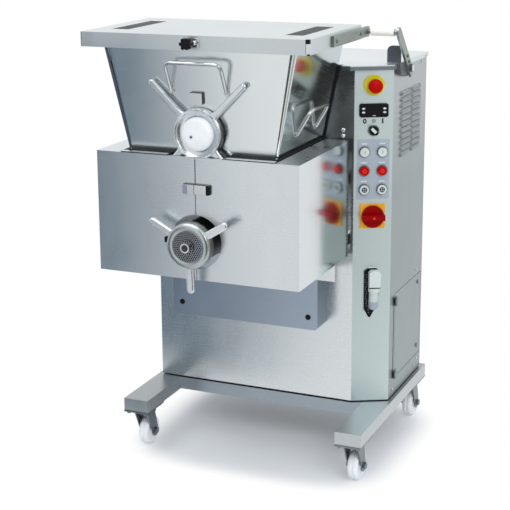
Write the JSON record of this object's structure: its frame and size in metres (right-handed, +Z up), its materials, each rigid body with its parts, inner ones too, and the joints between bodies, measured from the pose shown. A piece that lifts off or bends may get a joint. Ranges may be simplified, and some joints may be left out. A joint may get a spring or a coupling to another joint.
{
  "type": "meat grinder",
  "caption": "Refrigerated mixer-grinder on castors: steel cabinet, lidded hopper with mixing paddles, hinged doors round the mincing head, control column.",
  "frame": {"origin": "middle of the bounding box's underside, on the floor", "axes": "+X to the operator's right along the front, +Y from the doors back to the cabinet, +Z up"},
  "size_m": [0.686, 0.803, 1.155],
  "materials": {
    "frame_steel": "satin",
    "panel_steel": "satin",
    "polished_steel": "polished",
    "cast_steel": "satin",
    "zinc": "satin",
    "nylon": "matte",
    "cream": "matte",
    "rubber": "matte",
    "black_plastic": "matte",
    "red_plastic": "gloss",
    "yellow_plastic": "gloss",
    "white_plastic": "gloss",
    "drive_paint": "satin",
    "cooling_paint": "matte"
  },
  "bodies": {
    "machine": {"legs": "frame_steel", "cross_beams": "frame_steel", "castor_plates": "zinc", "cabinet_floor": "cooling_paint", "front_panel": "panel_steel", "cabinet_wrap": "panel_steel", "right_panel": "panel_steel", "cabinet_top": "panel_steel", "control_column": "panel_steel", "switch_backplates": "yellow_plastic", "thermostat": "black_plastic", "switch_bezels": "zinc", "supply_inlet": "white_plastic", "bracket_cover": "panel_steel", "evaporator_casing": "panel_steel", "door_hinges": "black_plastic", "hopper": "polished_steel", "hopper_gasket": "rubber", "hopper_handles": "polished_steel", "bearing_spider": "polished_steel", "bearing_cap": "nylon", "head_barrel": "cast_steel", "arm_pivot": "cooling_paint", "gearmotors": "drive_paint", "cooling_unit": "cooling_paint", "electrical_box": "cooling_paint"},
    "lid_assembly": {"lid": "panel_steel", "lid_grilles": "cooling_paint", "lid_arm": "polished_steel", "grip_sleeve": "cream"},
    "lid_knob_body": {"lid_knob": "black_plastic"},
    "door_left_body": {"door_left": "panel_steel"},
    "door_right_body": {"door_right": "panel_steel"},
    "latch_body": {"latch": "polished_steel"},
    "cutting_set": {"cutting_plate": "cast_steel"},
    "ring_nut_body": {"ring_nut": "polished_steel"},
    "worm_body": {"worm": "polished_steel", "knife": "polished_steel"},
    "mixer_body": {"mixer_paddle": "polished_steel"},
    "fan_body": {"fan": "black_plastic"},
    "service_door_body": {"service_door": "panel_steel"},
    "estop_body": {"estop_button": "red_plastic"},
    "selector_body": {"selector_knob": "black_plastic"},
    "main_switch_body": {"main_switch_knob": "red_plastic"},
    "button_a1_body": {"button_a1": "white_plastic"},
    "button_a2_body": {"button_a2": "red_plastic"},
    "button_a3_body": {"button_a3": "white_plastic"},
    "button_b1_body": {"button_b1": "white_plastic"},
    "button_b2_body": {"button_b2": "red_plastic"},
    "button_b3_body": {"button_b3": "white_plastic"},
    "castor_fl": {"castor_fork_fl": "zinc"},
    "wheel_fl": {"castor_wheel_fl": "nylon"},
    "brake_fl": {"brake_pedal_fl": "cooling_paint"},
    "castor_rl": {"castor_fork_rl": "zinc"},
    "wheel_rl": {"castor_wheel_rl": "nylon"},
    "castor_fr": {"castor_fork_fr": "zinc"},
    "wheel_fr": {"castor_wheel_fr": "nylon"},
    "brake_fr": {"brake_pedal_fr": "cooling_paint"},
    "castor_rr": {"castor_fork_rr": "zinc"},
    "wheel_rr": {"castor_wheel_rr": "nylon"}
  },
  "joints": [
    {"name": "lid_hinge", "type": "hinge", "parent": "machine", "child": "lid_assembly", "pos_m": [0.334, 0.1535, 1.034], "axis": [-1, 0, 0], "range_deg": [0, 95]},
    {"name": "lid_knob_turn", "type": "hinge", "parent": "lid_assembly", "child": "lid_knob_body", "pos_m": [-0.05, -0.3495, 1.137], "axis": [0, -1, 0], "continuous": true},
    {"name": "cutting_set_draw", "type": "slide", "parent": "machine", "child": "cutting_set", "axis": [0, -1, 0], "range_m": [0, 0.2]},
    {"name": "ring_nut_turn", "type": "hinge", "parent": "cutting_set", "child": "ring_nut_body", "pos_m": [-0.047, -0.3735, 0.653], "axis": [0, 1, 0], "continuous": true},
    {"name": "worm_turn", "type": "hinge", "parent": "cutting_set", "child": "worm_body", "pos_m": [-0.047, -0.1865, 0.653], "axis": [0, 1, 0], "continuous": true},
    {"name": "door_left_hinge", "type": "hinge", "parent": "machine", "child": "door_left_body", "pos_m": [-0.309, 0.0125, 0.7095], "axis": [0, 0, -1], "range_deg": [0, 90]},
    {"name": "door_right_hinge", "type": "hinge", "parent": "machine", "child": "door_right_body", "pos_m": [0.215, 0.0125, 0.7095], "axis": [0, 0, 1], "range_deg": [0, 70]},
    {"name": "latch_slide", "type": "slide", "parent": "door_right_body", "child": "latch_body", "axis": [1, 0, 0], "range_m": [0, 0.012]},
    {"name": "mixer_turn", "type": "hinge", "parent": "machine", "child": "mixer_body", "pos_m": [-0.047, -0.1365, 0.916], "axis": [0, 1, 0], "continuous": true},
    {"name": "fan_turn", "type": "hinge", "parent": "machine", "child": "fan_body", "pos_m": [0.27, 0.216, 0.891], "axis": [1, 0, 0], "continuous": true},
    {"name": "service_door_hinge", "type": "hinge", "parent": "machine", "child": "service_door_body", "pos_m": [0.3241, 0.11, 0.319], "axis": [0, 0, -1], "range_deg": [0, 110]},
    {"name": "estop_press", "type": "slide", "parent": "machine", "child": "estop_body", "axis": [-0.4711, 0.8821, 0], "range_m": [0, 0.005], "stiffness_N_per_m": 500},
    {"name": "selector_turn", "type": "hinge", "parent": "machine", "child": "selector_body", "pos_m": [0.27971, 0.03618, 0.885], "axis": [-0.4711, 0.8821, 0], "range_deg": [0, 90]},
    {"name": "main_switch_turn", "type": "hinge", "parent": "machine", "child": "main_switch_body", "pos_m": [0.28207, 0.03177, 0.661], "axis": [0.4711, -0.8821, 0], "range_deg": [0, 90]},
    {"name": "button_a1_press", "type": "slide", "parent": "machine", "child": "button_a1_body", "axis": [-0.4711, 0.8821, 0], "range_m": [0, 0.0035], "stiffness_N_per_m": 400},
    {"name": "button_a2_press", "type": "slide", "parent": "machine", "child": "button_a2_body", "axis": [-0.4711, 0.8821, 0], "range_m": [0, 0.0035], "stiffness_N_per_m": 400},
    {"name": "button_a3_press", "type": "slide", "parent": "machine", "child": "button_a3_body", "axis": [-0.4711, 0.8821, 0], "range_m": [0, 0.0035], "stiffness_N_per_m": 400},
    {"name": "button_b1_press", "type": "slide", "parent": "machine", "child": "button_b1_body", "axis": [-0.4711, 0.8821, 0], "range_m": [0, 0.0035], "stiffness_N_per_m": 400},
    {"name": "button_b2_press", "type": "slide", "parent": "machine", "child": "button_b2_body", "axis": [-0.4711, 0.8821, 0], "range_m": [0, 0.0035], "stiffness_N_per_m": 400},
    {"name": "button_b3_press", "type": "slide", "parent": "machine", "child": "button_b3_body", "axis": [-0.4711, 0.8821, 0], "range_m": [0, 0.0035], "stiffness_N_per_m": 400},
    {"name": "castor_swivel_fl", "type": "hinge", "parent": "machine", "child": "castor_fl", "pos_m": [-0.307, -0.1405, 0.106], "axis": [0, 0, 1], "continuous": true},
    {"name": "castor_roll_fl", "type": "hinge", "parent": "castor_fl", "child": "wheel_fl", "pos_m": [-0.307, -0.1145, 0.04], "axis": [1, 0, 0], "continuous": true},
    {"name": "brake_press_fl", "type": "hinge", "parent": "castor_fl", "child": "brake_fl", "pos_m": [-0.307, -0.1085, 0.098], "axis": [-1, 0, 0], "range_deg": [0, 20]},
    {"name": "castor_swivel_rl", "type": "hinge", "parent": "machine", "child": "castor_rl", "pos_m": [-0.307, 0.3355, 0.106], "axis": [0, 0, 1], "continuous": true},
    {"name": "castor_roll_rl", "type": "hinge", "parent": "castor_rl", "child": "wheel_rl", "pos_m": [-0.307, 0.3615, 0.04], "axis": [1, 0, 0], "continuous": true},
    {"name": "castor_swivel_fr", "type": "hinge", "parent": "machine", "child": "castor_fr", "pos_m": [0.295, -0.1405, 0.106], "axis": [0, 0, 1], "continuous": true},
    {"name": "castor_roll_fr", "type": "hinge", "parent": "castor_fr", "child": "wheel_fr", "pos_m": [0.295, -0.1145, 0.04], "axis": [1, 0, 0], "continuous": true},
    {"name": "brake_press_fr", "type": "hinge", "parent": "castor_fr", "child": "brake_fr", "pos_m": [0.295, -0.1085, 0.098], "axis": [-1, 0, 0], "range_deg": [0, 20]},
    {"name": "castor_swivel_rr", "type": "hinge", "parent": "machine", "child": "castor_rr", "pos_m": [0.295, 0.3355, 0.106], "axis": [0, 0, 1], "continuous": true},
    {"name": "castor_roll_rr", "type": "hinge", "parent": "castor_rr", "child": "wheel_rr", "pos_m": [0.295, 0.3615, 0.04], "axis": [1, 0, 0], "continuous": true}
  ],
  "couplings": [
    {"joint": "door_left_hinge", "follows": "cutting_set_draw", "rad_per_m": 7.85},
    {"joint": "door_right_hinge", "follows": "cutting_set_draw", "rad_per_m": 6.1}
  ]
}
